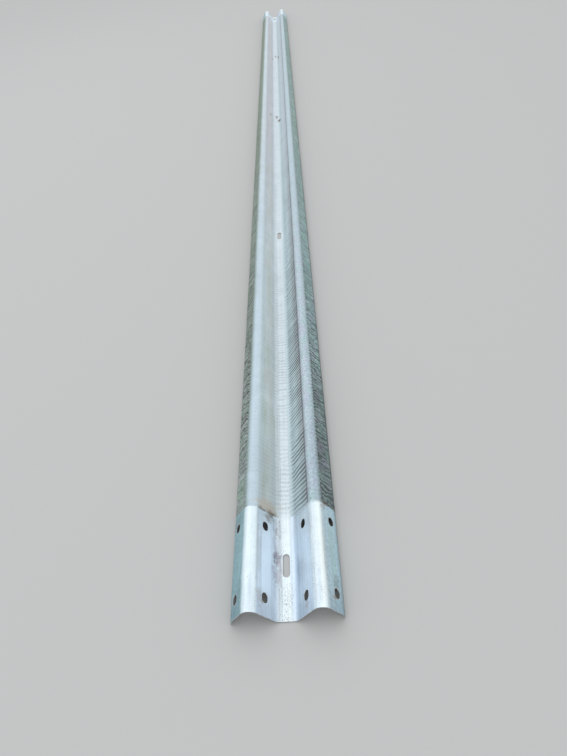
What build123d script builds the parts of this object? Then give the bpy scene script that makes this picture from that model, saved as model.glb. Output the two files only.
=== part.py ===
from build123d import *
import os
from math import cos, radians, sin, tan

# W-beam guardrail panel, roll-formed from one galvanised sheet; lengths in millimetres, angles in degrees.
# It lies along Y on the back of its valley, crests up, with the origin under its middle.

# Length: posts stand at an even pitch, and neighbouring panels lap over one post.
post_pitch = 1905.0
bays = 4
lap_length = 317.5

# Section, measured over the sheet; bend radii are on the inside of each bend.
section_width = 311.15
section_depth = 82.55
crest_to_edge = 58.7375
sheet = 2.67
bend_radius = 24.0
flank_angle = 55.0
lip_angle = 80.0
lip_bend_radius = 10.0
lip_edge_height = 1.6

# Post-bolt slots, one at each post, along the valley.
post_slot_length = 70.0
post_slot_width = 20.0

# Splice-bolt slots, one on each flank in two rows at each lap, punched square to the sheet.
splice_slot_length = 28.6
splice_slot_width = 23.0
splice_row_spacing = 215.9
inner_splice_drop = 39.0
outer_splice_drop = 42.0

rail_length = bays * post_pitch + lap_length

# The flanks are tangent to the bends, so each section corner is where two straight faces would meet.
flank_slope = tan(radians(flank_angle))
lip_slope = tan(radians(lip_angle))
crest_x = section_width / 2 - crest_to_edge
corner_rise = 1 / cos(radians(flank_angle)) - 1
crest_corner_z = section_depth - sheet + bend_radius * corner_rise
valley_corner_x = crest_x - crest_corner_z / flank_slope
lip_end_x = section_width / 2 - sheet * sin(radians(lip_angle))
lip_reach = lip_edge_height + lip_end_x * lip_slope
flank_reach = crest_corner_z + crest_x * flank_slope
lip_corner_x = (lip_reach - flank_reach) / (lip_slope - flank_slope)
lip_corner_z = flank_reach - lip_corner_x * flank_slope

# Each splice slot sits on the middle of the sheet, at its drop below the crest's top.
middle_corner_z = section_depth - sheet / 2 + (bend_radius + sheet / 2) * corner_rise
inner_splice_z = section_depth - inner_splice_drop
outer_splice_z = section_depth - outer_splice_drop
inner_splice_x = crest_x - (middle_corner_z - inner_splice_z) / flank_slope
outer_splice_x = crest_x + (middle_corner_z - outer_splice_z) / flank_slope

# Rows along the rail: a post slot at the middle of each lap and at each post between.
post_rows = [(i - bays / 2) * post_pitch for i in range(bays + 1)]
splice_rows = [
    (lap_y + row_y, 0)
    for lap_y in (post_rows[0], post_rows[-1])
    for row_y in (-splice_row_spacing / 2, splice_row_spacing / 2)
]


def flank_plane(x, z, lean):
    """A plane on a flank's middle, with its own x along the rail and its normal out of the sheet."""
    angle = radians(flank_angle)
    return Plane(origin=(x, 0, z), x_dir=(0, 1, 0), z_dir=(lean * sin(angle), 0, cos(angle)))


flanks = []
for side in (-1, 1):
    flanks.append(flank_plane(side * inner_splice_x, inner_splice_z, -side))
    flanks.append(flank_plane(side * outer_splice_x, outer_splice_z, side))

with BuildPart() as w_beam_rail:
    with BuildSketch(Plane.XZ) as section:
        with BuildLine() as back_face:
            right_half = FilletPolyline(
                (0, 0),
                (valley_corner_x, 0),
                (crest_x, crest_corner_z),
                (lip_corner_x, lip_corner_z),
                (lip_end_x, lip_edge_height),
                radius=[bend_radius + sheet, bend_radius, lip_bend_radius],
            )
            mirror(about=Plane.YZ)
            offset(amount=sheet, side=Side.LEFT)
        make_face()
    extrude(amount=rail_length / 2, both=True)

    with BuildSketch(Plane.XY) as post_slots:
        with Locations(*[(0, y) for y in post_rows]):
            SlotOverall(post_slot_length, post_slot_width, rotation=90)
    extrude(amount=2 * sheet, both=True, mode=Mode.SUBTRACT)

    with BuildSketch(*flanks) as splice_slots:
        with Locations(*splice_rows):
            SlotOverall(splice_slot_length, splice_slot_width)
    extrude(amount=sheet, both=True, mode=Mode.SUBTRACT)

w_beam_rail.part.label = "w_beam_rail"

os.makedirs("parts", exist_ok=True)
export_step(w_beam_rail.part, "parts/w_beam_rail.step")
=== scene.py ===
from math import cos, pi, radians, sin

import bpy
import numpy as np
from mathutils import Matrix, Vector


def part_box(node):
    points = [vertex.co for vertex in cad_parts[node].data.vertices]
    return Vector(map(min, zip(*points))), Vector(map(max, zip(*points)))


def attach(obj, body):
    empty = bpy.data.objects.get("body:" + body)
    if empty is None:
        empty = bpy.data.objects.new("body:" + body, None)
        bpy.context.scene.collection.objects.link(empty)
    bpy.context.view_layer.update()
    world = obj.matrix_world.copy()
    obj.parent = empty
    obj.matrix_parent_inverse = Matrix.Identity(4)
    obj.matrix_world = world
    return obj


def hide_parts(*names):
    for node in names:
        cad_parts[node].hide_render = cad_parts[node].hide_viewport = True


# Galvanised W-beam guardrail panel, lying on the back of its valley with its crests up.
# Lengths are in metres. The sheet is drawn unrolled, by "across" (along the section from the middle of the
# valley) and "along" (along the rail from its middle), and then bent to the rail's section.

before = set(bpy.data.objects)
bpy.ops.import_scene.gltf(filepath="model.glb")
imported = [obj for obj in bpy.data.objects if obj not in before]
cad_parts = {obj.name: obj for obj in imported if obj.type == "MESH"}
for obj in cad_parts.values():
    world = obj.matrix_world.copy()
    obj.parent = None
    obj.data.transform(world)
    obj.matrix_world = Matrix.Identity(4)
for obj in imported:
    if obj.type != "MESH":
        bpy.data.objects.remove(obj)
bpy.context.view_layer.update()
rail_low, rail_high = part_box("w_beam_rail")

# Length and post rows.
rail_length = rail_high.y - rail_low.y
post_pitch = 1.905
post_rows = [-2 * post_pitch, -post_pitch, 0.0, post_pitch, 2 * post_pitch]
lap_length = rail_length - 4 * post_pitch

# Section, measured over the sheet; bend radii are on the inside of each bend.
section_width = 0.31115
section_depth = 0.08255
crest_to_edge = 0.0587375
sheet = 0.00267
bend_radius = 0.024
flank_angle = radians(55)
lip_angle = radians(80)
lip_bend_radius = 0.010
lip_edge_height = 0.0016

# Slots punched in the sheet.
post_slot_length = 0.070
post_slot_width = 0.020
splice_slot_length = 0.0286
splice_slot_width = 0.023
splice_row_spacing = 0.2159
inner_splice_drop = 0.039
outer_splice_drop = 0.042

# Sheared and punched edges are softened by the zinc on them.
edge_round = 0.0006
edge_steps = 3

# The section's middle line, from the middle of the valley to the right edge.
middle_radius = bend_radius + sheet / 2
lip_radius = lip_bend_radius + sheet / 2
bend_rise = middle_radius * (1 - cos(flank_angle))
bend_run = middle_radius * sin(flank_angle)
inner_flank = (section_depth - sheet - 2 * bend_rise) / sin(flank_angle)
crest_x = section_width / 2 - crest_to_edge
valley_half = crest_x - 2 * bend_run - inner_flank * cos(flank_angle)

edge_x = section_width / 2 - sheet / 2 * sin(lip_angle)
edge_z = lip_edge_height + sheet / 2 * cos(lip_angle)
outer_run = edge_x - crest_x - bend_run - lip_radius * (sin(lip_angle) - sin(flank_angle))
outer_fall = section_depth - sheet / 2 - bend_rise - edge_z - lip_radius * (cos(flank_angle) - cos(lip_angle))
lip_turn = lip_angle - flank_angle
outer_flank = (outer_run * sin(lip_angle) - outer_fall * cos(lip_angle)) / sin(lip_turn)
lip = (outer_fall * cos(flank_angle) - outer_run * sin(flank_angle)) / sin(lip_turn)

# Each stretch of the middle line: its length, and its curve to the left.
runs_and_bends = [
    (valley_half, 0),
    (middle_radius * flank_angle, 1 / middle_radius),
    (inner_flank, 0),
    (2 * middle_radius * flank_angle, -1 / middle_radius),
    (outer_flank, 0),
    (lip_radius * lip_turn, -1 / lip_radius),
    (lip, 0),
]
starts = np.cumsum([0] + [length for length, curve in runs_and_bends]).tolist()
inner_flank_start, crest_start, outer_flank_start, lip_bend_start, lip_start, half_across = starts[2:]


def further_on(x, z, heading, curve, gone):
    """The place and heading after going some way along a stretch of the middle line."""
    turned = heading + curve * gone
    if curve:
        x = x + (np.sin(turned) - np.sin(heading)) / curve
        z = z + (np.cos(heading) - np.cos(turned)) / curve
        return x, z, turned
    return x + gone * np.cos(heading), z + gone * np.sin(heading), turned


def middle_line(across):
    """Place (x, z) and heading of the sheet's middle line, at distances across it."""
    side = np.where(across < 0, -1.0, 1.0)
    reach = np.abs(across)
    x, z, heading = np.zeros((3, len(reach)))
    at = (0.0, sheet / 2, 0.0)
    for start, (length, curve) in zip(starts, runs_and_bends):
        here = reach >= start
        x[here], z[here], heading[here] = further_on(*at, curve, reach[here] - start)
        at = further_on(*at, curve, length)
    return side * x, z, side * heading


# A rolled sheet is never quite true: long shallow waves, as (height, wavelength, slant, phase).
sheet_waves = [
    (0.00016, 0.74, 3.1, 0.4),
    (0.00012, 0.43, -5.2, 2.1),
    (0.00009, 0.29, 7.4, 4.0),
    (0.00006, 0.19, -11.0, 1.3),
]


def wave(across, along):
    """How far the sheet stands off its true face."""
    off = np.zeros_like(across)
    for height, length, slant, phase in sheet_waves:
        off += height * np.sin(2 * pi * along / length + slant * across / half_across + phase)
    return off


def bent(across, along, lift):
    """Places in the rail of points of the unrolled sheet, lifted off its middle."""
    x, z, heading = middle_line(across)
    off = lift + wave(across, along)
    return np.stack([x - off * np.sin(heading), along, z + off * np.cos(heading)], axis=-1)


# The faces' finishes, by their places in the rail's list of materials.
FRONT, BACK, EDGE = 0, 1, 2


class Sheet:
    """The mesh being laid out on the unrolled sheet. Each point has a place there and a way it faces."""

    def __init__(self):
        self.points = []
        self.facing = []
        self.faces = []
        self.finishes = []

    def add_points(self, across, along, lift, facing):
        first = len(self.points)
        self.points.extend(np.broadcast(across, along, lift))
        self.facing.extend(facing)
        return list(range(first, len(self.points)))

    def add_flat_points(self, across, along, finish):
        side = 1.0 if finish == FRONT else -1.0
        return self.add_points(across, along, side * sheet / 2, [(0.0, 0.0, side)] * len(along))

    def add_face(self, corners, finish):
        self.faces.append(corners[::-1] if finish == BACK else corners)
        self.finishes.append(finish)


# Two measures closer than this are the same.
tolerance = 1e-6


def spaced(low, high, step):
    """Even places from low to high, at most a step apart, without the last."""
    count = max(1, round(np.ceil((high - low) / step - tolerance)))
    return [low + (high - low) * i / count for i in range(count)]


def grid_lines(stops, steps):
    """The lines through all stops, with each stretch between two of them divided by its own step."""
    lines = []
    for low, high, step in zip(stops, stops[1:], steps):
        lines += spaced(low, high, step)
    return lines + [stops[-1]]


class Slot:
    """A punched slot: where it is on the unrolled sheet, its size, and the window of the grid it takes."""

    def __init__(self, across, along, length, width, window_across, window_along):
        self.across = across
        self.along = along
        self.half_width = width / 2
        self.half_run = (length - width) / 2
        self.left, self.right = across - window_across, across + window_across
        self.near, self.far = along - window_along, along + window_along

    def outline(self, side_steps, arc_steps):
        """Points round it from the middle of its right side: a place on its centre line and a way out."""
        run = self.half_run
        right = [(2 * run * i / side_steps - run, 0.0) for i in range(side_steps)]
        top = [(run, pi * i / arc_steps) for i in range(arc_steps)]
        left = [(-place, pi) for place, angle in right]
        bottom = [(-run, pi + angle) for place, angle in top]
        along, angle = np.roll(right + top + left + bottom, -(side_steps // 2), axis=0).T
        return along, np.cos(angle), np.sin(angle)


# Each slot's window reaches a little further than the slot, across and along.
post_window = (valley_half, post_slot_length / 2 + 0.010)
splice_window = (splice_slot_width / 2 + 0.0042, splice_slot_length / 2 + 0.007)
inner_splice_rise = section_depth - inner_splice_drop - sheet / 2 - bend_rise
inner_splice_across = inner_flank_start + inner_splice_rise / sin(flank_angle)
outer_splice_fall = outer_splice_drop - sheet / 2 - bend_rise
outer_splice_across = outer_flank_start + outer_splice_fall / sin(flank_angle)

slots = []
for row in post_rows:
    slots.append(Slot(0.0, row, post_slot_length, post_slot_width, *post_window))
for lap in (post_rows[0], post_rows[-1]):
    for row in (lap - splice_row_spacing / 2, lap + splice_row_spacing / 2):
        for place in (inner_splice_across, outer_splice_across):
            for side in (-1, 1):
                slots.append(Slot(side * place, row, splice_slot_length, splice_slot_width, *splice_window))

# Lines across the rail are this far apart in the laps and beside the slots, and elsewhere.
close_row_step = 0.009
open_row_step = 0.036

# A stretch shorter than the reach is a slot's, and one that ends within the slack of a lap is the lap's.
slot_row_reach = 0.1
lap_row_slack = 0.01


def columns():
    """Lines along the rail: close together in the bends, and at each slot window's sides."""
    reach = splice_window[0]
    bend_step = middle_radius * radians(5.5)
    lip_step = lip_radius * radians(6.5)

    # Each stretch from the valley's middle: where it starts, and how far apart its lines may be.
    stretches = [
        (0.0, 0.0050),
        (valley_half, bend_step),
        (inner_flank_start, 0.0075),
        (inner_splice_across - reach, 0.0055),
        (inner_splice_across + reach, 0.0085),
        (crest_start, bend_step),
        (outer_flank_start, 0.0085),
        (outer_splice_across - reach, 0.0055),
        (outer_splice_across + reach, 0.0060),
        (lip_bend_start, lip_step),
        (lip_start, 0.0070),
    ]
    stops, steps = zip(*stretches)
    right = grid_lines([*stops, half_across - edge_round], steps)
    return np.array([-c for c in right[:0:-1]] + right)


def rows():
    """Lines across the rail: close together in the laps, and at each slot window's ends."""
    end = rail_length / 2 - edge_round
    stops = {-end, end, -rail_length / 2 + lap_length, rail_length / 2 - lap_length}
    for slot in slots:
        stops |= {round(slot.near, 7), round(slot.far, 7)}
    stops = sorted(stops)
    open_start = -end + lap_length + lap_row_slack
    steps = []
    for low, high in zip(stops, stops[1:]):
        close = high < open_start or low > -open_start or high - low < slot_row_reach
        steps.append(close_row_step if close else open_row_step)
    return np.array(grid_lines(stops, steps))


def lay_face(mesh, across, along, finish):
    """One face of the sheet: a grid with a window for each slot. Returns its points, or -1 in a window."""
    used = np.ones((len(along), len(across)), bool)
    open_cells = np.ones((len(along) - 1, len(across) - 1), bool)
    for slot in slots:
        c0, c1 = np.searchsorted(across, (slot.left - tolerance, slot.right - tolerance))
        r0, r1 = np.searchsorted(along, (slot.near - tolerance, slot.far - tolerance))
        slot.window = (r0, r1, c0, c1)
        used[r0 + 1 : r1, c0 + 1 : c1] = False
        open_cells[r0:r1, c0:c1] = False
    points = np.full(used.shape, -1)
    r, c = np.nonzero(used)
    points[r, c] = mesh.add_flat_points(across[c], along[r], finish)
    r, c = np.nonzero(open_cells)
    cells = np.stack([points[r, c], points[r, c + 1], points[r + 1, c + 1], points[r + 1, c]], axis=1)
    for corners in cells.tolist():
        mesh.add_face(corners, finish)
    return points


def loop_round(r0, r1, c0, c1):
    """Rows and columns round a part of the grid, counterclockwise from its first corner."""
    around = [(r0, c) for c in range(c0, c1)] + [(r, c1) for r in range(r0, r1)]
    around += [(r1, c) for c in range(c1, c0, -1)] + [(r, c0) for r in range(r1, r0, -1)]
    return np.array(around).T


def window_loop(points, r0, r1, c0, c1):
    """The grid's points round a window, counterclockwise from the middle of its right side."""
    r, c = np.roll(loop_round(r0, r1, c0, c1), -(c1 - c0) - (r1 - r0) // 2, axis=1)
    return points[r, c].tolist()


def angles_round(mesh, loop, slot):
    """Each point's angle round the slot's middle, rising from its first."""
    places = np.array([mesh.points[p] for p in loop], float)
    angle = np.arctan2(places[:, 1] - slot.along, places[:, 0] - slot.across)
    return np.unwrap(np.append(angle, angle[0] + 2 * pi))


def stitch(mesh, outer, inner, slot, finish):
    """Triangles between two loops round a slot."""
    around = angles_round(mesh, outer, slot)
    within = angles_round(mesh, inner, slot)
    last_outer, last_inner = len(outer), len(inner)
    outer, inner = outer + outer[:1], inner + inner[:1]
    i = j = 0
    while i < last_outer or j < last_inner:
        if j == last_inner or (i < last_outer and around[i + 1] <= within[j + 1]):
            mesh.add_face([outer[i], outer[i + 1], inner[j]], finish)
            i += 1
        else:
            mesh.add_face([outer[i], inner[j + 1], inner[j]], finish)
            j += 1


def join_rings(mesh, ring, further, finish):
    """A band of quads between two rings of as many points, the sheet on the first ring's left."""
    for i in range(len(ring)):
        mesh.add_face([ring[i], ring[i - 1], further[i - 1], further[i]], finish)


def edge_band(mesh, front, back, across, along, out_across, out_along):
    """A rounded edge from the front face's rim to the back's. Each rim point has a way out, off the sheet."""
    rings = [front]
    bends = [radians(90 * (i + 1) / edge_steps) for i in range(edge_steps)]
    for way, angles in ((1, bends), (-1, bends[::-1])):
        for angle in angles:
            out = edge_round * sin(angle)
            lift = way * (sheet / 2 - edge_round * (1 - cos(angle)))
            lean, rise = sin(angle), way * cos(angle)
            facing = [(a * lean, b * lean, rise) for a, b in zip(out_across, out_along)]
            rings.append(mesh.add_points(across + out * out_across, along + out * out_along, lift, facing))
    rings.append(back)
    for ring, further in zip(rings, rings[1:]):
        join_rings(mesh, ring, further, EDGE)


# Steps along each straight side of a slot, and round each end.
long_slot_steps = (8, 14)
short_slot_steps = (2, 18)

# A ring of flat sheet lies round each slot, out to this far from it.
slot_apron = 0.0024


def punch(mesh, slot, grids):
    """A slot through the sheet, with softened rims, in its window of both faces."""
    steps = long_slot_steps if slot.half_run > slot.half_width else short_slot_steps
    run, out_across, out_along = slot.outline(*steps)

    def ring_places(radius):
        return slot.across + radius * out_across, slot.along + run + radius * out_along

    rims = []
    for grid, finish in zip(grids, (FRONT, BACK)):
        apron = mesh.add_flat_points(*ring_places(slot.half_width + slot_apron), finish)
        rim = mesh.add_flat_points(*ring_places(slot.half_width + edge_round), finish)
        stitch(mesh, window_loop(grid, *slot.window), apron, slot, finish)
        join_rings(mesh, rim, apron, finish)
        rims.append(rim[::-1])
    across, along = ring_places(slot.half_width + edge_round)
    edge_band(mesh, *rims, across[::-1], along[::-1], -out_across[::-1], -out_along[::-1])


def shear(mesh, across, along, grids):
    """The sheet's outer edge, round all four sides."""
    last_row, last_column = len(along) - 1, len(across) - 1
    r, c = loop_round(0, last_row, 0, last_column)
    out_across = (c == last_column) * 1.0 - (c == 0)
    out_along = (r == last_row) * 1.0 - (r == 0)
    rims = [grid[r, c].tolist() for grid in grids]
    edge_band(mesh, *rims, across[c], along[r], out_across, out_along)


# The sheet's slope at a point is taken over this much to each side.
slope_step = 0.0005


def bent_normals(flat, facing):
    """The way each point faces once the sheet is bent."""
    ways = []
    for step in ((slope_step, 0.0, 0.0), (0.0, slope_step, 0.0)):
        way = bent(*(flat + step).T) - bent(*(flat - step).T)
        ways.append(way / np.linalg.norm(way, axis=1, keepdims=True))
    ways.append(np.cross(*ways))
    normals = sum(facing[:, i : i + 1] * ways[i] for i in range(3))
    return normals / np.linalg.norm(normals, axis=1, keepdims=True)


def put(name, data):
    """An object in the scene."""
    made = bpy.data.objects.new(name, data)
    bpy.context.scene.collection.objects.link(made)
    return made


def make_rail(finishes):
    """The rail's mesh, bent from the unrolled sheet and fitted to the frame's box."""
    across, along = columns(), rows()
    mesh = Sheet()
    grids = [lay_face(mesh, across, along, finish) for finish in (FRONT, BACK)]
    for slot in slots:
        punch(mesh, slot, grids)
    shear(mesh, across, along, grids)

    flat = np.array(mesh.points, float)
    places = bent(*flat.T)
    low, high = places.min(0), places.max(0)
    box_low, box_high = np.array(rail_low), np.array(rail_high)
    places = box_low + (places - low) * (box_high - box_low) / (high - low)

    data = bpy.data.meshes.new("w_beam_rail_sheet")
    data.from_pydata(places.tolist(), [], mesh.faces)
    for finish in finishes:
        data.materials.append(finish)
    data.polygons.foreach_set("material_index", mesh.finishes)
    data.polygons.foreach_set("use_smooth", [True] * len(mesh.faces))
    unrolled = data.uv_layers.new(name="unrolled")
    corners = np.zeros(len(data.loops), int)
    data.loops.foreach_get("vertex_index", corners)
    unrolled.data.foreach_set("uv", flat[corners, :2].ravel())
    data.normals_split_custom_set_from_vertices(bent_normals(flat, np.array(mesh.facing)).tolist())
    data.validate()
    return put("w_beam_rail_sheet", data)


# Shader building.


class Value:
    """A number, place or colour in a node tree. Reckoning with it adds a node."""

    def __init__(self, tree, socket):
        self.tree = tree
        self.socket = socket

    def __add__(self, other):
        return reckon("ADD", self, other)

    def __sub__(self, other):
        return reckon("SUBTRACT", self, other)

    def __rsub__(self, other):
        return reckon("SUBTRACT", other, self)

    def __mul__(self, other):
        return reckon("MULTIPLY", self, other)

    def __truediv__(self, other):
        return reckon("DIVIDE", self, other)

    def __rtruediv__(self, other):
        return reckon("DIVIDE", other, self)

    def __abs__(self):
        return reckon("ABSOLUTE", self)


def outputs_of(tree, made):
    """A node's outputs, by their place and by their name."""
    outputs = {}
    for place, socket in enumerate(made.outputs):
        outputs[place] = outputs[socket.name] = Value(tree, socket)
    return outputs


def node(kind, inputs, tree=None, **settings):
    """Adds a node, to the tree its inputs come from if none is given, and returns its outputs."""
    tree = tree or next(given.tree for given in inputs.values() if isinstance(given, Value))
    made = tree.nodes.new(kind)
    for name, setting in settings.items():
        setattr(made, name, setting)
    for key, given in inputs.items():
        if isinstance(given, Value):
            tree.links.new(given.socket, made.inputs[key])
        else:
            made.inputs[key].default_value = given
    return outputs_of(tree, made)


def reckon(operation, *values):
    """One operation on values."""
    return node("ShaderNodeMath", dict(enumerate(values)), operation=operation)[0]


def swing(value, reach):
    """A value about one half, turned into one about nothing."""
    return (value - 0.5) * reach


def blend(share, first, second, mode="MIX"):
    """Two colours mixed by a share."""
    return node("ShaderNodeMix", {0: share, 6: first, 7: second}, data_type="RGBA", blend_type=mode)[2]


def shade(share, colour, tint):
    """A colour drawn towards itself times a tint, by a share."""
    return blend(share, colour, tint, "MULTIPLY")


def vary(colour, value):
    """A colour made lighter or darker by a value about one."""
    return shade(1.0, colour, value)


def between(value, low, high, least=0.0, most=1.0, smooth=True):
    """The value's place between two limits, held at the ends."""
    limits = dict(enumerate((value, low, high, least, most)))
    return node("ShaderNodeMapRange", limits, interpolation_type="SMOOTHSTEP" if smooth else "LINEAR")[0]


def fall(value, low, high, least=0.0):
    """One up to the low limit, falling to its least at the high one."""
    return between(value, low, high, 1.0, least)


def band(value, start, whole, ending, end):
    """A mask that rises from its start until it is whole, and falls from its ending to its end."""
    return between(value, start, whole) * fall(value, ending, end)


def noise(place, scale=1.0, detail=3.0, roughness=0.55, distortion=0.0):
    """A cloudy value from 0 to 1, evenly about the middle."""
    inputs = dict(Vector=place, Scale=scale, Detail=detail, Roughness=roughness, Distortion=distortion)
    return node("ShaderNodeTexNoise", inputs)[0]


def streaky(place, across, along, seed=0.0, **texture):
    """A cloudy value scaled by itself across and along the sheet, with a pattern of its own."""
    mapping = {"Vector": place, "Scale": (across, along, 1.0), "Location": (seed, -seed, seed)}
    return noise(node("ShaderNodeMapping", mapping)[0], **texture)


def split(place):
    """A place's distances across and along the sheet."""
    parts = node("ShaderNodeSeparateXYZ", {0: place})
    return parts[0], parts[1]


def joined(across, along):
    """The place at two distances across and along the sheet."""
    return node("ShaderNodeCombineXYZ", {0: across, 1: along})[0]


def seen(red, green, blue):
    """A colour by its parts out of 255 as it shows, in the linear values that shaders take."""
    parts = [c / 255 for c in (red, green, blue)]
    return tuple(c / 12.92 if c <= 0.04045 else ((c + 0.055) / 1.055) ** 2.4 for c in parts) + (1.0,)


def by_section(stop, table):
    """Colours, or shares, by the distance across the sheet."""
    made = stop.tree.nodes.new("ShaderNodeValToRGB")
    stop.tree.links.new(stop.socket, made.inputs[0])
    made.color_ramp.interpolation = "EASE"
    elements = made.color_ramp.elements
    while len(elements) < len(table):
        elements.new(1.0)
    for element, (across, *given) in zip(elements, table):
        element.position = 0.5 + across / half_across / 2
        element.color = seen(*given) if len(given) == 3 else given * 3 + [1.0]
    return Value(stop.tree, made.outputs[0])


def effect(**numbers):
    """Turns a function into a node group that takes a place and numbers, and gives the function's results."""

    def build(function):
        tree = bpy.data.node_groups.new(function.__name__, "ShaderNodeTree")
        tree.interface.new_socket("Place", in_out="INPUT", socket_type="NodeSocketVector")
        for label, default in numbers.items():
            socket = tree.interface.new_socket(label, in_out="INPUT", socket_type="NodeSocketFloat")
            socket.default_value = default
        given = outputs_of(tree, tree.nodes.new("NodeGroupInput"))
        place = given["Place"]
        if "Seed" in given:
            place = node("ShaderNodeVectorMath", {0: place, 1: given["Seed"]}, operation="ADD")[0]
        results = function(place, given)
        for label in results:
            tree.interface.new_socket(label, in_out="OUTPUT", socket_type="NodeSocketFloat")
        end = tree.nodes.new("NodeGroupOutput")
        for label, value in results.items():
            tree.links.new(value.socket, end.inputs[label])
        return tree

    return build


def use(group, **inputs):
    """Places an effect in a material with its own values, and returns its outputs."""
    return node("ShaderNodeGroup", inputs, node_tree=group)


@effect(Size=0.05, Seed=0.0)
def zinc_bloom(place, given):
    """Cloudy patches in zinc, large and small, about an even middle."""
    scale = 1.0 / given["Size"]
    cloud = noise(place, scale, detail=5.0, roughness=0.62, distortion=0.4)
    grain_finer = 14.0
    grain = noise(place, scale * grain_finer, detail=3.0, roughness=0.6)
    return {"Cloud": cloud, "Grain": grain}


@effect(Pitch=0.010, Wander=0.02, Curl=12.0, Slant=0.0, Faintest=0.18, Seed=0.0)
def drain_ripples(place, given):
    """Ripples across the sheet where zinc and then rain ran down it: low lines, some deep and some faint."""
    across, along = split(place)
    drift = swing(noise(place, given["Curl"], detail=2.0), given["Wander"])
    turns = (along - across * given["Slant"] + drift) / given["Pitch"]
    line = between(reckon("SINE", turns * (2 * pi)), -0.85, 0.85)
    depth_per_metre = 9.0
    by_line = joined(across * depth_per_metre, turns)
    depth = between(noise(by_line, 0.62, detail=2.0, roughness=0.6), 0.33, 0.57, given["Faintest"], 1.0)
    return {"Ripple": 1.0 - (1.0 - line) * depth}


@effect(Seed=0.0)
def rolling_lines(place, given):
    """Fine lines along the sheet from the rolls."""
    return {"Line": streaky(place, across=160.0, along=0.7, roughness=0.7)}


@effect(Spacing=0.008, Amount=0.4, Seed=0.0)
def specks(place, given):
    """Small dark specks, each of its own size, with bare sheet between."""
    by_cell = {"Vector": place, "Scale": 1.0 / given["Spacing"]}
    cells = node("ShaderNodeTexVoronoi", by_cell, voronoi_dimensions="2D")
    chance = node("ShaderNodeSeparateColor", {0: cells["Color"]})
    least_size, size_range = 0.05, 0.16
    size = chance[0] * size_range + least_size
    dot = 1.0 - between(cells["Distance"] / size, 0.55, 1.0)
    there = reckon("LESS_THAN", chance[1], given["Amount"])
    return {"Speck": dot * there}


@effect(Across=0.0, Along=0.0, Width=0.05, Length=0.05, Ragged=0.5)
def stain_and_shadow(place, given):
    """One ragged-edged patch by the place of its middle and its size; the patches are soil, smears and
    painted shade.
    """
    across, along = split(place)
    x = (across - given["Across"]) / given["Width"]
    y = (along - given["Along"]) / given["Length"]
    reach = reckon("SQRT", x * x + y * y) * 2.0
    rough = swing(noise(place, 55.0, detail=5.0, roughness=0.65), given["Ragged"]) * 4.0
    return {"Mark": fall(reach + rough, 0.25, 1.15)}


@effect()
def slot_rim(place, given):
    """Distances from the edge of the nearest slot of each kind. Both ends are alike, and both sides."""
    across, along = split(place)

    def from_edge(across, along, length, width):
        beyond = reckon("MAXIMUM", abs(along) - (length - width) / 2, 0.0)
        return reckon("SQRT", across * across + beyond * beyond) - width / 2

    from_post = along - reckon("ROUND", along / post_pitch) * post_pitch
    post = from_edge(across, from_post, post_slot_length, post_slot_width)
    from_row = abs(abs(along) - post_rows[-1]) - splice_row_spacing / 2
    splices = []
    for splice_across in (inner_splice_across, outer_splice_across):
        from_flank = abs(across) - splice_across
        splices.append(from_edge(from_flank, from_row, splice_slot_length, splice_slot_width))
    return {"Post": post, "Splice": reckon("MINIMUM", *splices)}


# Colours across the sheet, left to right, each with its distance across and its red, green and blue out of
# 255: next to the near lap, a little further, from the middle on, and in the laps. Painted light is in them:
# the outer flanks darker and greener as a painted reflection of dark ground, the crests, valley and laps
# bluish white as a painted reflection of sky, and from the middle on a pinkish painted reflection on the left
# inner flank.
beside_lap_across = [
    (-0.236, 124, 142, 132), (-0.205, 168, 186, 180), (-0.158, 160, 178, 175), (-0.152, 150, 168, 168),
    (-0.144, 180, 198, 205), (-0.137, 188, 205, 215), (-0.128, 194, 211, 221), (-0.120, 197, 213, 223),
    (-0.112, 204, 220, 226), (-0.104, 199, 212, 215), (-0.060, 207, 215, 215), (-0.032, 205, 216, 219),
    (-0.024, 201, 213, 216), (-0.016, 202, 214, 218), (-0.010, 222, 233, 238), (0.011, 224, 235, 240),
    (0.017, 198, 213, 219), (0.024, 188, 205, 212), (0.060, 188, 208, 213), (0.098, 156, 170, 176),
    (0.1125, 142, 149, 154), (0.1175, 172, 187, 196), (0.128, 178, 195, 204), (0.137, 173, 190, 200),
    (0.145, 170, 187, 197), (0.152, 150, 168, 174), (0.158, 146, 166, 169), (0.168, 152, 176, 179),
    (0.208, 156, 182, 184), (0.236, 124, 144, 142),
]
weathered_and_reflected_across = [
    (-0.236, 118, 134, 122), (-0.205, 148, 165, 156), (-0.160, 150, 167, 158), (-0.153, 140, 157, 152),
    (-0.145, 172, 190, 196), (-0.138, 190, 207, 217), (-0.128, 199, 216, 227), (-0.120, 204, 221, 230),
    (-0.112, 212, 227, 233), (-0.104, 210, 224, 228), (-0.060, 220, 228, 228), (-0.032, 212, 223, 227),
    (-0.024, 208, 220, 225), (-0.016, 208, 220, 225), (-0.010, 219, 230, 236), (0.011, 220, 231, 237),
    (0.017, 204, 219, 225), (0.024, 194, 211, 218), (0.060, 196, 215, 219), (0.098, 158, 168, 173),
    (0.1125, 141, 147, 153), (0.1175, 181, 196, 205), (0.128, 188, 203, 212), (0.138, 187, 203, 213),
    (0.146, 181, 198, 207), (0.152, 166, 183, 189), (0.159, 156, 184, 186), (0.168, 165, 197, 199),
    (0.208, 167, 199, 201), (0.236, 128, 150, 146),
]
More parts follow.
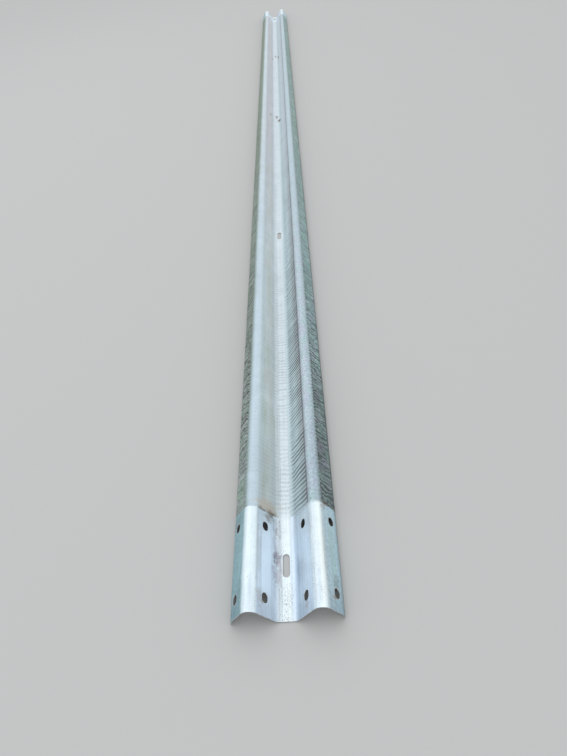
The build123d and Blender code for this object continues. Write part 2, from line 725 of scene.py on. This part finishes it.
distant_across = [
    (-0.236, 112, 128, 112), (-0.205, 134, 154, 138), (-0.163, 142, 161, 146), (-0.153, 138, 154, 147),
    (-0.145, 172, 186, 187), (-0.138, 197, 210, 215), (-0.128, 205, 217, 224), (-0.119, 208, 219, 226),
    (-0.112, 204, 216, 221), (-0.104, 206, 206, 213), (-0.060, 214, 215, 217), (-0.032, 207, 213, 218),
    (-0.024, 215, 225, 232), (-0.016, 215, 224, 234), (-0.011, 216, 228, 234), (0.013, 216, 228, 234),
    (0.022, 192, 208, 213), (0.060, 208, 220, 227), (0.098, 193, 205, 213), (0.1125, 156, 162, 170),
    (0.1175, 184, 202, 210), (0.136, 190, 207, 216), (0.145, 187, 205, 213), (0.152, 166, 183, 187),
    (0.160, 154, 180, 178), (0.168, 160, 190, 187), (0.208, 157, 187, 181), (0.236, 122, 144, 134),
]
lapped_across = [
    (-0.236, 124, 156, 160), (-0.205, 153, 192, 202), (-0.161, 162, 200, 210), (-0.150, 220, 236, 244),
    (-0.140, 226, 240, 247), (-0.118, 230, 244, 250), (-0.112, 214, 228, 236), (-0.104, 218, 232, 243),
    (-0.080, 223, 235, 244), (-0.046, 222, 235, 244), (-0.033, 224, 237, 246), (-0.024, 220, 233, 241),
    (-0.016, 215, 228, 235), (-0.008, 236, 247, 251), (0.010, 238, 249, 252), (0.016, 214, 229, 240),
    (0.023, 216, 231, 247), (0.032, 210, 226, 240), (0.040, 200, 217, 231), (0.056, 206, 223, 237),
    (0.104, 219, 236, 250), (0.112, 208, 225, 236), (0.121, 216, 230, 238), (0.131, 222, 236, 243),
    (0.143, 242, 252, 252), (0.149, 232, 244, 247), (0.155, 206, 222, 229), (0.162, 196, 222, 233),
    (0.205, 191, 222, 234), (0.236, 154, 178, 184),
]

# How strongly the drain ripples show across the sheet.
rippled_across = [
    (-0.210, 0.95), (-0.160, 0.95), (-0.149, 0.04), (-0.112, 0.04), (-0.104, 0.07), (-0.040, 0.09),
    (-0.022, 0.14), (-0.016, 0.24), (0.012, 0.24), (0.019, 0.12), (0.025, 0.22), (0.036, 0.72),
    (0.060, 0.92), (0.109, 1.00), (0.113, 0.10), (0.151, 0.06), (0.157, 0.95), (0.210, 0.90),
]

# How strongly the dirt along a lap's edge shows across the sheet.
lap_dirt_across = [
    (-0.210, 0.25), (-0.158, 0.20), (-0.148, 0.04), (-0.114, 0.04), (-0.100, 0.75), (-0.040, 0.90),
    (-0.030, 0.25), (-0.018, 0.03), (0.020, 0.03), (0.036, 0.12), (0.100, 0.20), (0.116, 0.04),
    (0.150, 0.04), (0.158, 0.75), (0.200, 0.55),
]

# How much of the sheet has specks, within a hand of an end.
specked_across = [
    (-0.160, 0.10), (-0.110, 0.08), (-0.030, 0.20), (-0.015, 0.80), (0.015, 0.80), (0.030, 0.25),
    (0.105, 0.15), (0.120, 0.45), (0.150, 0.30), (0.165, 0.15),
]

# Dirt, marks and clean zinc, and painted light: the shadow colours are painted shade, and the ripple light is
# a painted highlight.
pale_soil = seen(206, 193, 178)
brown_soil = seen(150, 130, 110)
dark_soil = seen(96, 82, 66)
lap_soil = seen(84, 72, 60)
grey_grime = seen(130, 126, 136)
bend_grime = seen(152, 148, 152)
crest_grime = seen(168, 176, 186)
bend_flecks = seen(112, 110, 120)
valley_flecks = seen(92, 94, 102)
speck_grey = seen(92, 90, 92)
line_grey = seen(128, 134, 140)
crest_line = seen(98, 96, 106)
grey_smear = seen(152, 148, 144)
pale_smear = seen(172, 168, 162)
pink_smear = seen(180, 177, 188)
blue_smear = seen(164, 182, 202)
dull_smear = seen(120, 132, 134)
# Painted shade, laid like the stains: bluish on the crests by the near end, green and teal on the left outer
# flank.
blue_shadow = seen(196, 210, 224)
green_shadow = seen(96, 120, 122)
teal_shadow = seen(110, 132, 138)
# Painted highlight on the ridges of the drain ripples.
ripple_highlight = seen(218, 230, 232)
clean_zinc = seen(232, 245, 255)
green_zinc = seen(176, 206, 204)
washer_zinc = seen(226, 236, 238)
rim_zinc = seen(222, 232, 238)

# Tints, each a share of the red, green and blue under it.
# Grime and painted shade in the grooves of the drain ripples.
ripple_groove_shade = (0.10, 0.09, 0.11, 1.0)
mottle_tint = (0.45, 0.44, 0.44, 1.0)
# Painted shade on the right outer flank.
right_flank_shade = (0.68, 0.66, 0.66, 1.0)
end_tint = (0.80, 0.80, 0.82, 1.0)

# Stains by the near end, with patches of painted shade among them in the shadow colours: middle (across, from
# the near end), width, length, raggedness, strength and colour.
near_stains_and_shadows = [
    (-0.072, 0.340, 0.110, 0.060, 0.40, 0.70, pale_soil),
    (-0.052, 0.324, 0.060, 0.018, 0.45, 0.65, brown_soil),
    (-0.048, 0.321, 0.034, 0.008, 0.50, 0.80, dark_soil),
    (-0.100, 0.322, 0.030, 0.014, 0.60, 0.50, brown_soil),
    (-0.060, 0.303, 0.044, 0.036, 0.80, 0.70, grey_smear),
    (-0.050, 0.310, 0.022, 0.016, 0.60, 0.50, dark_soil),
    (-0.029, 0.182, 0.034, 0.050, 0.90, 0.80, grey_grime),
    (-0.036, 0.218, 0.018, 0.080, 0.95, 0.40, pink_smear),
    (-0.022, 0.138, 0.026, 0.090, 0.95, 0.45, pink_smear),
    (-0.041, 0.135, 0.018, 0.080, 0.95, 0.45, pink_smear),
    (-0.030, 0.262, 0.014, 0.060, 0.95, 0.50, grey_smear),
    (-0.109, 0.170, 0.014, 0.290, 0.35, 0.35, pale_smear),
    (-0.098, 0.170, 0.012, 0.200, 0.35, 0.40, pale_smear),
    (-0.130, 0.075, 0.014, 0.090, 0.40, 0.35, blue_shadow),
    (-0.139, 0.132, 0.011, 0.080, 0.40, 0.35, blue_shadow),
    (0.133, 0.080, 0.014, 0.090, 0.40, 0.35, blue_shadow),
    (-0.130, 0.036, 0.050, 0.100, 0.50, 0.35, blue_shadow),
    (0.127, 0.036, 0.030, 0.100, 0.50, 0.35, blue_shadow),
    (-0.185, 0.288, 0.070, 0.070, 0.50, 0.35, green_shadow),
    (-0.098, 0.050, 0.034, 0.060, 0.75, 0.50, pale_smear),
    (-0.087, 0.038, 0.010, 0.022, 0.60, 0.60, brown_soil),
    (0.186, 0.037, 0.030, 0.012, 0.60, 0.80, brown_soil),
    (0.200, 0.078, 0.036, 0.050, 0.70, 0.45, dull_smear),
    (-0.172, 0.070, 0.030, 0.080, 0.70, 0.35, teal_shadow),
    (0.172, 0.322, 0.050, 0.012, 0.50, 0.55, dark_soil),
    (0.166, 0.306, 0.026, 0.026, 0.70, 0.60, pale_smear),
    (0.043, 0.128, 0.026, 0.130, 0.25, 0.45, blue_smear),
    (0.078, 0.026, 0.018, 0.040, 0.40, 0.50, pale_smear),
    (0.152, 0.180, 0.006, 0.260, 0.40, 0.35, pale_smear),
]

# Stains beside the further post slots, listed in the same way.
slot_stains = [
    (0.022, 3.890, 0.036, 0.070, 0.50, 0.95, dark_soil),
    (-0.060, 3.985, 0.022, 0.060, 0.50, 0.70, brown_soil),
    (0.034, 5.800, 0.028, 0.120, 0.50, 0.85, dark_soil),
    (-0.036, 5.760, 0.018, 0.100, 0.50, 0.60, brown_soil),
    (-0.012, 2.052, 0.014, 0.030, 0.60, 0.45, brown_soil),
]

# Patches in the near lap: middle (across, from the near end), width, length, strength and colour.
near_patches = [
    (-0.072, 0.150, 0.042, 0.190, 0.70, clean_zinc),
    (0.190, 0.155, 0.030, 0.190, 0.35, green_zinc),
]

# Thin grey lines along the valley: place across, half width and strength.
valley_lines = [(-0.0215, 0.0011, 0.45), (-0.0130, 0.0009, 0.30), (0.0022, 0.0008, 0.30)]

# Blotches and drifts of colour on the weathered zinc: a pattern of its own for each, and its tint.
outer_casts = [
    (14.0, (1.13, 0.98, 1.07, 1.0)),
    (33.0, (0.91, 1.04, 0.92, 1.0)),
    (47.0, (0.84, 0.84, 0.86, 1.0)),
]
crest_casts = [(51.0, (1.02, 0.94, 1.00, 1.0)), (62.0, (0.92, 1.00, 0.96, 1.0))]
flank_drifts = [(8.0, (0.90, 0.93, 0.86, 1.0)), (21.0, (0.96, 0.92, 0.89, 1.0))]

# Drain ripples of each kind.
ripple_kinds = {
    "even": dict(Pitch=0.0158, Wander=0.026, Curl=9.0, Slant=0.08, Seed=4.1),
    "broad": dict(Pitch=0.0240, Wander=0.045, Curl=8.0, Slant=0.08, Seed=2.7),
    "distant": dict(Pitch=0.0400, Wander=0.120, Curl=10.0, Slant=0.08, Seed=3.6),
    "scaly": dict(Pitch=0.0165, Wander=0.048, Curl=30.0, Seed=6.6),
    "scaly_broad": dict(Pitch=0.0300, Wander=0.080, Curl=16.0, Seed=8.2),
    "valley": dict(Pitch=0.0165, Wander=0.026, Curl=16.0, Seed=1.9),
}

# How far a lap's edge is softened: everywhere, and by more in three zones.
lap_edge_soft = 0.002
inner_edge_soft = 0.028
valley_edge_soft = 0.022
crest_edge_soft = 0.006


def place_on_sheet(tree):
    """Where a point is on the unrolled sheet."""
    return node("ShaderNodeUVMap", {}, tree, uv_map="unrolled")[0]


class Face:
    """What the layers of the front face share: places on the sheet, its clouds, and where the laps are."""

    def __init__(self, tree):
        self.place = place_on_sheet(tree)
        self.across, along = split(self.place)
        self.reach = abs(self.across)
        self.from_near = along + rail_length / 2
        self.from_end = rail_length / 2 - abs(along)
        bloom = use(zinc_bloom, Place=self.place, Size=0.060, Seed=1.3)
        self.cloud, self.grain = bloom["Cloud"], bloom["Grain"]
        self.stop = (self.across + swing(self.cloud, 0.008)) * (0.5 / half_across) + 0.5
        self.right_inner = band(self.across, 0.024, 0.034, 0.106, 0.113)
        self.right_crest = band(self.across, 0.110, 0.118, 0.150, 0.158)
        self.outer = between(self.reach, outer_flank_start - 0.005, outer_flank_start + 0.001)
        self.in_valley = fall(self.reach, 0.014, 0.020)
        self.in_lap = self.lap_mask()
        self.outside = 1.0 - self.in_lap
        self.lines = use(rolling_lines, Place=self.place, Seed=2.0)["Line"]
        self.ripple = self.ripples()
        self.strength = self.ripple_strength()
        mottle = streaky(self.place, 1.6, 1.0, seed=5.0, scale=70.0, detail=4.0, roughness=0.7)
        self.mottle = between(mottle, 0.40, 0.60, least=0.4)
        self.flecks = between(noise(self.place, 330.0, detail=2.0, roughness=0.5), 0.56, 0.64)

    def lap_mask(self):
        """The laps end at a sharp edge, but for a soft one in the valley and on the right inner flank."""
        ragged = self.from_end + swing(self.grain, 0.006)
        soft = self.right_inner * inner_edge_soft + lap_edge_soft
        soft = soft + self.in_valley * valley_edge_soft + self.right_crest * crest_edge_soft
        start = lap_length - soft
        return fall(ragged, start, start + soft + soft)

    def ripples(self):
        """Even ripples on the inner flanks and scaly ones on the outer, broader away from the near end."""

        def mixed(share, first, second):
            return node("ShaderNodeMix", {0: share, 2: first, 3: second}, data_type="FLOAT")[0]

        kinds = {}
        for kind, values in ripple_kinds.items():
            kinds[kind] = use(drain_ripples, Place=self.place, **values)["Ripple"]
        broader = between(self.from_near, 0.90, 1.5, most=0.85)
        broadest = between(self.from_near, 1.3, 2.0, most=0.85)
        flank = mixed(broader, kinds["even"], kinds["broad"])
        outer = mixed(broader, kinds["scaly"], kinds["scaly_broad"])
        along_flanks = mixed(broadest, mixed(self.outer, flank, outer), kinds["distant"])
        return mixed(self.in_valley, along_flanks, kinds["valley"])

    def ripple_strength(self):
        """The ripples are strongest on the flanks outside the near lap and all but gone in the laps."""
        zone = by_section(self.stop, rippled_across)
        uneven = between(streaky(self.place, 3.0, 2.2, seed=5.0, detail=1.0), 0.35, 0.6, least=0.6)
        broken = between(self.grain, 0.40, 0.60, -0.75, 0.45) * self.in_valley + 1.0
        left = fall(self.across, -0.160, -0.140)
        by_lap = between(self.from_near, 0.40, 0.80, left * -0.45 + 0.85, 1.0)
        fading = fall(self.from_near, 1.2, 2.1, least=0.42) * fall(self.from_near, 2.0, 4.5, least=0.30)
        return zone * (uneven * broken * by_lap) * fading * fall(self.in_lap, 0.0, 1.0, least=0.05)


def zone_colours(face):
    """The colours across the sheet in the weather and in the laps, with their painted reflections of sky and
    ground, and with clouds and lines along the sheet.
    """
    colour = by_section(face.stop, weathered_and_reflected_across)
    for share, table in (
        (between(face.from_near, 1.0, 3.8), distant_across),
        (fall(face.from_near, 0.40, 0.85), beside_lap_across),
        (face.in_lap, lapped_across),
    ):
        colour = blend(share, colour, by_section(face.stop, table))
    colour = vary(colour, between(face.cloud, 0.28, 0.72, 0.93, 1.05, smooth=False))
    colour = vary(colour, between(face.grain, 0.30, 0.70, 0.975, 1.02, smooth=False))
    line_reach = (face.in_lap * 0.09 + 0.065) * 2.5
    return vary(colour, swing(face.lines, line_reach) + 1.0)


def drifting_tints(face, colour):
    """Green and warm tints that drift along the left inner flank."""
    flank = band(face.across, -0.108, -0.098, -0.036, -0.028) * face.outside
    flank = flank * fall(face.from_near, 1.5, 3.8, least=0.3)
    for seed, tint in flank_drifts:
        drift = streaky(face.place, 26.0, 5.0, seed=seed, detail=4.0, roughness=0.6)
        colour = shade(between(drift, 0.45, 0.65) * flank, colour, tint)
    return colour


def frost(face, colour):
    """Fine frosting of the zinc, strongest on the right crest and the outer flanks."""
    fine = streaky(face.place, 150.0, 95.0, seed=7.0, detail=4.0, roughness=0.75)
    everywhere, more_on_crest, more_on_outer = 0.15, 0.80, 0.65
    share = face.right_crest * face.outside * more_on_crest + everywhere + face.outer * more_on_outer
    return shade(share, colour, between(fine, 0.34, 0.64, 0.74, 1.20, smooth=False))


def ripple_shade_and_highlight(face, colour):
    """Drain ripples: dark lines in the grooves, grime and painted shade, and light lines on the ridges, a
    painted highlight.
    """
    # Grime and painted shade in the ripple grooves.
    colour = shade((1.0 - face.ripple) * face.strength, colour, ripple_groove_shade)
    # Painted highlight on the ripple ridges, weaker on the outer flanks.
    light_share, less_on_outer, sharpness = 0.60, 0.25, 8.0
    shown = light_share - face.outer * less_on_outer
    light = reckon("POWER", face.ripple, sharpness) * face.strength * shown
    return blend(light, colour, ripple_highlight)


def ripple_end_line(face, colour):
    """A dark line where the ripples end at the right crest."""
    ripple_end = 0.1095
    off = abs(face.across + swing(face.grain, 0.003) - ripple_end)
    broken = between(streaky(face.place, 4.0, 14.0, seed=6.0), 0.35, 0.60, 0.25, 0.75)
    line = fall(off, 0.0012, 0.0036) * broken * face.outside * fall(face.from_near, 1.5, 4.0, least=0.3)
    return blend(line, colour, crest_line)


def flank_grime_and_shade(face, colour):
    """Mottled grime on the outer flanks, and painted shade on the right one near the lap, where it is
    darkest.
    """
    grime = use(zinc_bloom, Place=face.place, Size=0.042, Seed=7.7)
    mottle = grime["Grain"] * 0.45 + grime["Cloud"] * 0.55
    patch = between(mottle, 0.42, 0.58) * face.outer * fall(face.in_lap, 0.0, 1.0, least=0.2)
    right = between(face.across, 0.153, 0.159)
    left_share, more_on_right = 0.45, 0.15
    colour = shade(patch * (right * more_on_right + left_share), colour, mottle_tint)
    # Painted shade on the right outer flank, from the near lap to about a metre from the near end.
    near = fall(face.from_near + swing(grime["Cloud"], 0.5), 0.80, 1.04)
    dark = right * near * face.outside
    # This mask holds the mottled grime and the painted shade; both make the zinc duller.
    face.grime = patch * 0.6 + dark * 0.4
    return shade(dark, colour, right_flank_shade)


def colour_casts(face, colour):
    """Blotches on the outer flanks and the right crest, some violet, some green and some only darker."""
    for zone, casts in ((face.outer, outer_casts), (face.right_crest, crest_casts)):
        zone = zone * face.outside * fall(face.from_near, 0.9, 2.4, least=0.45)
        for seed, tint in casts:
            blotch = streaky(face.place, 30.0, 15.0, seed=seed, roughness=0.6)
            colour = shade(between(blotch, 0.44, 0.62) * zone, colour, tint)
    return colour


def lap_dirt(face, colour):
    """A broken line of dirt along the edge of each lap."""
    line_at = lap_length + 0.001
    off_line = abs(face.from_end + swing(face.grain, 0.007) - line_at)
    broken = between(streaky(face.place, 60.0, 8.0, seed=2.0), 0.38, 0.56, least=0.25)
    line = fall(off_line, 0.0015, 0.0058) * broken * by_section(face.stop, lap_dirt_across)
    return blend(line, colour, lap_soil)


def valley_marks(face, colour):
    """Thin lines along the valley, broken here and there."""
    broken = between(streaky(face.place, 20.0, 6.0, seed=12.0), 0.42, 0.58)
    for across, half_width, strength in valley_lines:
        off = abs(face.across - across)
        line = between(off, half_width * 0.4, half_width, strength, 0.0)
        colour = blend(line * broken, colour, line_grey)
    return colour


def lap_patches(face, colour):
    """Patches that the neighbouring panel kept apart, each with a soft ragged outline."""
    soft_across, soft_along = 0.004, 0.010
    ragged = swing(face.grain, 0.006)
    for middle, far, width, length, share, tint in near_patches:
        off_across = abs(face.across - middle) + ragged
        off_along = abs(face.from_near - far) + ragged
        in_width = between(off_across, width / 2 - soft_across, width / 2, share, 0.0)
        colour = blend(in_width * fall(off_along, length / 2 - soft_along, length / 2), colour, tint)
    return colour


def lap_grime(face, colour):
    """Streaks and flecks of grime down the valley's left bend in the near lap, and on the right crest."""
    bend = band(face.across, -0.050, -0.036, -0.018, -0.010)
    along = band(face.from_near, 0.04, 0.13, 0.30, 0.32)
    crest = band(face.across, 0.111, 0.117, 0.123, 0.136)
    streaks = streaky(face.place, 130.0, 9.0, seed=3.0, detail=4.0, roughness=0.65)
    streaks = between(streaks, 0.44, 0.60, least=0.05)
    for mask, share, tint in (
        (streaks * face.mottle * bend * along, 0.70, bend_grime),
        (streaks * face.mottle * crest * face.in_lap, 0.42, crest_grime),
        (face.flecks * face.mottle * bend * along, 0.55, bend_flecks),
    ):
        colour = blend(mask * share, colour, tint)
    return colour


def valley_grime(face, colour):
    """Fine flecks in clumps in the valley, most of them by the ends and beside the slots in the laps."""
    valley = fall(face.reach, 0.015, 0.022)
    clumps = between(noise(face.place, 34.0, detail=2.0, roughness=0.6), 0.38, 0.58, least=0.2)
    by_end = fall(face.from_end, 0.06, 0.15, least=0.10)
    beside_slot = between(face.across, -0.004, 0.004, 0.55, 0.25) * face.in_lap
    shown = reckon("MAXIMUM", by_end, beside_slot)
    return blend(face.flecks * valley * clumps * shown * 0.85, colour, valley_flecks)


def stains_and_shadows(face, colour):
    """Marks of soil, smears and painted shade, with the flanks darker close to both ends."""
    flank = band(face.reach, 0.018, 0.040, 0.104, 0.114) + between(face.reach, 0.156, 0.164)
    colour = shade(flank * fall(face.from_end, 0.0, 0.10), colour, end_tint)
    near_place = joined(face.across, face.from_near)
    for middle, far, width, length, ragged, share, tint in near_stains_and_shadows + slot_stains:
        size = dict(Across=middle, Along=far, Width=width, Length=length, Ragged=ragged)
        colour = blend(use(stain_and_shadow, Place=near_place, **size)["Mark"] * share, colour, tint)
    return colour


def speck_marks(face, colour):
    """Specks, close together in the valley by the ends and few elsewhere."""
    amount = by_section(face.stop, specked_across) * fall(face.from_end, 0.06, 0.20, least=0.18)
    dots = use(specks, Place=face.place, Spacing=0.0070, Amount=amount, Seed=3.3)["Speck"]
    return blend(dots * 0.65, colour, speck_grey)


def slot_marks(face, colour):
    """Bright zinc kept under the bolt heads, and a clean line at each slot's rim."""
    rims = use(slot_rim, Place=face.place)
    washer = fall(rims["Post"] + swing(face.grain, 0.004), 0.006, 0.010)
    colour = blend(washer * face.outside * 0.6, colour, washer_zinc)
    edge = reckon("MINIMUM", rims["Post"], rims["Splice"])
    return blend(between(edge, 0.0006, 0.0024, 0.6, 0.0), colour, rim_zinc)


# The layers over the zones' colours, from the lowest to the highest.
layers = [drifting_tints, frost, ripple_shade_and_highlight, ripple_end_line, flank_grime_and_shade, colour_casts, valley_marks]
layers += [lap_patches, lap_grime, valley_grime, lap_dirt, stains_and_shadows, speck_marks, slot_marks]


def new_finish(name):
    """A material with its tree."""
    material = bpy.data.materials.new(name)
    material.use_nodes = True
    return material, material.node_tree


def coat(material, colour, rough, metal, height, relief):
    """Gives a material its colour, roughness, share of metal, and its height as a relief of some depth."""
    tree = material.node_tree
    surface = tree.nodes["Principled BSDF"].inputs
    normal = node("ShaderNodeBump", {"Height": height, "Distance": relief, "Strength": 1.0})[0]
    looks = {"Base Color": colour, "Roughness": rough, "Metallic": metal, "Normal": normal}
    for name, value in looks.items():
        tree.links.new(value.socket, surface[name])
    return material


def weathered_zinc():
    """The face that stood to the road: weathered and grimy between the laps, cleaner in them, with painted
    reflections and shade in its colours.
    """
    material, tree = new_finish("weathered_zinc_face")
    face = Face(tree)
    colour = zone_colours(face)
    for layer in layers:
        colour = layer(face, colour)

    # Grime, the right flank's painted shade and the ripple grooves are dull; the laps are the smoothest.
    dull = face.grime * 0.6 + (1.0 - face.ripple) * face.strength * 0.4
    rough = face.in_lap * -0.10 + 0.50 + dull * 0.22 + swing(face.cloud, 0.2)
    metal = face.in_lap * 0.10 + 0.48 - dull * 0.35
    ridges = face.ripple * (face.strength * 0.9 + 0.1)
    height = ridges + face.lines * 0.2 + face.grain * 0.3
    return coat(material, colour, rough, metal, height, relief=0.00026)


def back_zinc():
    """The back of the sheet: even, duller zinc with faint runs and soil by its edges. Its grey is dark partly
    as painted shade, to deepen the shade under the rail seen through the holes.
    """
    material, tree = new_finish("back_zinc_face")
    place = place_on_sheet(tree)
    bloom = use(zinc_bloom, Place=place, Size=0.075, Seed=11.0)
    # A dark grey, partly painted shade: it deepens the shade under the rail that shows through the holes.
    colour = blend(between(bloom["Cloud"], 0.3, 0.7), seen(130, 139, 143), seen(164, 174, 178))
    lines = use(rolling_lines, Place=place, Seed=9.0)["Line"]
    colour = vary(colour, between(lines, 0.3, 0.7, 0.93, 1.05, smooth=False))
    ripple = use(drain_ripples, Place=place, Pitch=0.012, Wander=0.008, Seed=6.2)["Ripple"]
    colour = blend((1.0 - ripple) * 0.22, colour, seen(116, 124, 128))
    by_edge = between(abs(split(place)[0]), half_across - 0.035, half_across - 0.004)
    soil = by_edge * between(bloom["Grain"], 0.42, 0.62)
    colour = blend(soil * 0.6, colour, seen(132, 116, 92))
    height = ripple * 0.5 + bloom["Grain"] * 0.4
    return coat(material, colour, soil * 0.2 + 0.55, soil * -0.4 + 0.55, height, relief=0.0002)


def edge_zinc():
    """The sheared and punched edges: rubbed bright, with dark spots."""
    material, tree = new_finish("cut_edge_zinc")
    bloom = use(zinc_bloom, Place=place_on_sheet(tree), Size=0.012, Seed=5.0)
    colour = blend(between(bloom["Cloud"], 0.35, 0.65), seen(168, 176, 180), seen(214, 222, 226))
    worn = between(bloom["Grain"], 0.52, 0.68)
    colour = blend(worn * 0.5, colour, seen(126, 108, 90))
    return coat(material, colour, worn * 0.25 + 0.42, worn * -0.4 + 0.75, bloom["Grain"], relief=0.00015)


rail = make_rail([weathered_zinc(), back_zinc(), edge_zinc()])
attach(rail, "root")
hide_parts("w_beam_rail")


# Studio: a pale floor, seen from above only, and soft light from overhead and all round.

floor_reach = 400.0
floor_drop = 0.0008
floor_colour = (0.52, 0.52, 0.515, 1.0)
floor_roughness = 0.9
floor_gloss = 0.1
dome_colour = (0.97, 0.985, 1.0, 1.0)
dome_foot = 0.86
dome_top = 1.11
horizon_dim = 0.66
horizon_height = 0.14
lamp_power = 45.0
lamp_size = (2.5, 10.0)
lamp_place = (-3.0, 0.0, 5.0)
lamp_turn = (0.0, radians(-31), 0.0)

# The camera's place and angle are the photograph's.
camera_place = (0.14185, -4.53883, 1.45328)
camera_turn = (radians(45.953), radians(6.372), radians(-0.935))
camera_lens = 25.264
camera_sensor = 36.0
camera_near = 0.05
camera_far = 200.0


def make_floor():
    """A plain pale floor under the rail, which isn't there from below."""
    data = bpy.data.meshes.new("studio_floor")
    corners = [(-1, -1), (1, -1), (1, 1), (-1, 1)]
    places = [(x * floor_reach, y * floor_reach, rail_low.z - floor_drop) for x, y in corners]
    data.from_pydata(places, [], [(0, 1, 2, 3)])
    floor = put("studio_floor", data)
    material, tree = new_finish("pale_floor")
    surface = tree.nodes["Principled BSDF"]
    surface.inputs["Base Color"].default_value = floor_colour
    surface.inputs["Roughness"].default_value = floor_roughness
    surface.inputs["Specular IOR Level"].default_value = floor_gloss
    clear = node("ShaderNodeBsdfTransparent", {}, tree)[0]
    below = node("ShaderNodeNewGeometry", {}, tree)["Backfacing"]
    both = node("ShaderNodeMixShader", {0: below, 1: Value(tree, surface.outputs[0]), 2: clear})[0]
    tree.links.new(both.socket, tree.nodes["Material Output"].inputs["Surface"])
    data.materials.append(material)


def add_dome():
    """A white dome, brighter overhead than at its foot, and as pale as the floor where they meet."""
    world = bpy.data.worlds.new("studio_dome")
    bpy.context.scene.world = world
    world.use_nodes = True
    tree = world.node_tree
    background = tree.nodes["Background"]
    background.inputs["Color"].default_value = dome_colour
    way = node("ShaderNodeTexCoord", {}, tree)["Generated"]
    up = node("ShaderNodeSeparateXYZ", {0: way})[2]
    strength = between(up, 0.0, 1.0, dome_foot, dome_top, smooth=False)
    strength = strength * between(up, 0.0, horizon_height, horizon_dim, 1.0)
    tree.links.new(strength.socket, background.inputs["Strength"])


def add_lamp():
    """A soft rectangular lamp on the left that the camera doesn't see."""
    light = bpy.data.lights.new("side_softbox", "AREA")
    light.shape = "RECTANGLE"
    light.size, light.size_y = lamp_size
    light.energy = lamp_power
    lamp = put("side_softbox", light)
    lamp.location = lamp_place
    lamp.rotation_euler = lamp_turn
    lamp.visible_camera = False


def place_camera():
    """The camera above the near end, looking along the rail."""
    data = bpy.data.cameras.new("photograph_view")
    data.lens = camera_lens
    data.sensor_width = camera_sensor
    data.clip_start = camera_near
    data.clip_end = camera_far
    camera = put("photograph_view", data)
    camera.location = camera_place
    camera.rotation_euler = camera_turn
    bpy.context.scene.camera = camera


make_floor()
add_dome()
add_lamp()
place_camera()
bpy.context.scene.view_settings.view_transform = "Standard"
